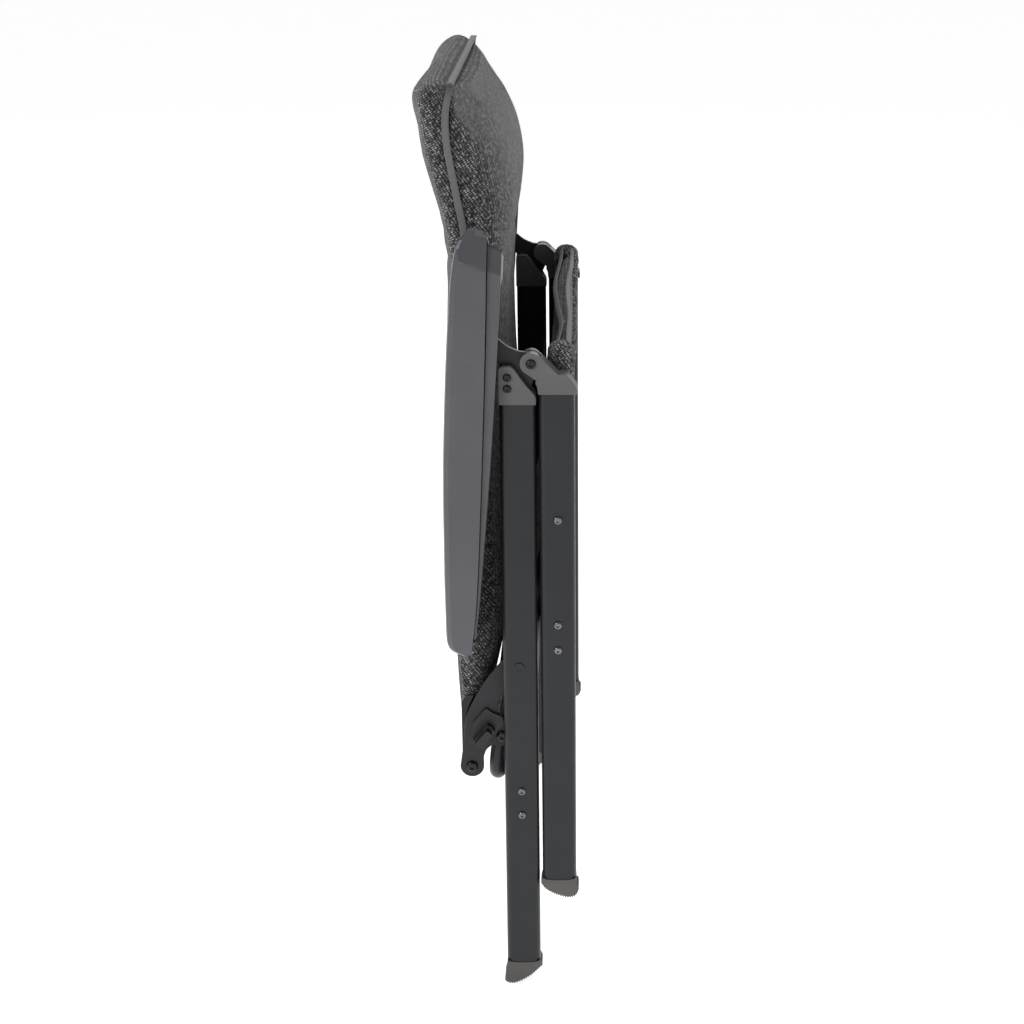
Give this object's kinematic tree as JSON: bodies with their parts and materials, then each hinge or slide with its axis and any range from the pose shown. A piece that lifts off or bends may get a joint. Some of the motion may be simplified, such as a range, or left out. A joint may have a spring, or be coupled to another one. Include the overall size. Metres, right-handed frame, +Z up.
{
  "type": "folding camp chair",
  "caption": "Folding camp chair with a padded reclining back, a padded seat on crossed box-tube legs and ratchet armrests, folded flat and upright.",
  "frame": {"origin": "on the ground, under the middle of the folded chair's box", "axes": "+X the chair's front, +Y the sitter's left, +Z up along the folded legs"},
  "size_m": [0.1818, 0.62, 1.0712],
  "materials": {
    "leg_tube": "satin slate grey powder coat on aluminium tube",
    "cap_plastic": "fine moulded grain, mid grey",
    "foot_rubber": "matte warm grey with a serrated sole",
    "arm_plastic": "satin, cool grey",
    "black_steel": "satin black powder coat",
    "black_plastic": "satin black",
    "black_screw": "glossy black oxide",
    "steel_screw": "dark zinc",
    "woven_fabric": "coarse charcoal basket weave with light flecks",
    "edge_tape": "light grey ribbed binding tape"
  },
  "bodies": {
    "rear_legs": {"right_rear_leg": "leg_tube", "left_rear_leg": "leg_tube", "right_rear_cap": "cap_plastic", "left_rear_cap": "cap_plastic", "right_rear_foot": "foot_rubber", "left_rear_foot": "foot_rubber", "right_apex_plate": "black_steel", "left_apex_plate": "black_steel", "right_ratchet_pin": "steel_screw", "left_ratchet_pin": "steel_screw", "right_cap_screw_1": "black_screw", "left_cap_screw_1": "black_screw", "right_cap_screw_2": "black_screw", "left_cap_screw_2": "black_screw", "right_link_rivet": "black_screw", "left_link_rivet": "black_screw", "right_rear_bar_screw_1": "steel_screw", "left_rear_bar_screw_1": "steel_screw", "right_rear_bar_screw_2": "steel_screw", "left_rear_bar_screw_2": "steel_screw", "rear_cross_bar": "leg_tube"},
    "front_legs": {"right_front_leg": "leg_tube", "left_front_leg": "leg_tube", "right_front_cap": "cap_plastic", "left_front_cap": "cap_plastic", "right_front_foot": "foot_rubber", "left_front_foot": "foot_rubber", "right_hinge_screw": "black_screw", "left_hinge_screw": "black_screw", "right_front_bar_screw_1": "steel_screw", "left_front_bar_screw_1": "steel_screw", "right_front_bar_screw_2": "steel_screw", "left_front_bar_screw_2": "steel_screw", "front_cross_bar": "leg_tube"},
    "seat": {"seat_frame": "leg_tube", "seat_cover": "woven_fabric", "right_seat_sleeve": "woven_fabric", "left_seat_sleeve": "woven_fabric", "right_seat_pivot_screw": "steel_screw", "left_seat_pivot_screw": "steel_screw"},
    "link_plates": {"right_link_plate": "black_steel", "left_link_plate": "black_steel", "right_stop_block": "black_plastic", "left_stop_block": "black_plastic", "right_link_screw": "black_screw", "left_link_screw": "black_screw"},
    "back_pivots": {"right_back_pivot_bolt": "black_screw", "left_back_pivot_bolt": "black_screw"},
    "backrest": {"back_frame": "leg_tube", "back_cover": "woven_fabric", "head_pillow": "woven_fabric"},
    "armrest_pins": {"right_armrest_pin": "steel_screw", "left_armrest_pin": "steel_screw"},
    "armrests": {"right_armrest_shell": "arm_plastic", "left_armrest_shell": "arm_plastic", "right_armrest_rail": "arm_plastic", "left_armrest_rail": "arm_plastic"}
  },
  "joints": [
    {"name": "fold", "type": "hinge", "parent": "rear_legs", "child": "front_legs", "pos_m": [0.0395, 0, 0.779], "axis": [0, -1, 0], "range_deg": [0, 52]},
    {"name": "seat_fold", "type": "hinge", "parent": "front_legs", "child": "seat", "pos_m": [0.068, 0, 0.598], "axis": [0, -1, 0], "range_deg": [-90.6, 0]},
    {"name": "link_fold", "type": "hinge", "parent": "rear_legs", "child": "link_plates", "pos_m": [0.023, 0, 0.418], "axis": [0, -1, 0], "range_deg": [-142.9, 0]},
    {"name": "back_fold", "type": "hinge", "parent": "link_plates", "child": "back_pivots", "pos_m": [-0.0353, 0, 0.28], "axis": [0, -1, 0], "range_deg": [0, 195.9]},
    {"name": "recline", "type": "hinge", "parent": "back_pivots", "child": "backrest", "pos_m": [-0.0353, 0, 0.28], "axis": [0, -1, 0], "range_deg": [0, 35]},
    {"name": "armrest_fold", "type": "hinge", "parent": "backrest", "child": "armrest_pins", "pos_m": [-0.041, 0, 0.484], "axis": [0, -1, 0], "range_deg": [-104.1, 0]},
    {"name": "armrest_tilt", "type": "hinge", "parent": "armrest_pins", "child": "armrests", "pos_m": [-0.041, 0, 0.484], "axis": [0, -1, 0], "range_deg": [-21.6, 0]}
  ],
  "couplings": [
    {"joint": "seat_fold", "follows": "fold", "ratio": -1.7168},
    {"joint": "link_fold", "follows": "fold", "ratio": -2.7067},
    {"joint": "back_fold", "follows": "fold", "ratio": 3.7111},
    {"joint": "armrest_fold", "follows": "fold", "ratio": -1.9729},
    {"joint": "armrest_tilt", "follows": "recline", "ratio": -0.6146}
  ]
}
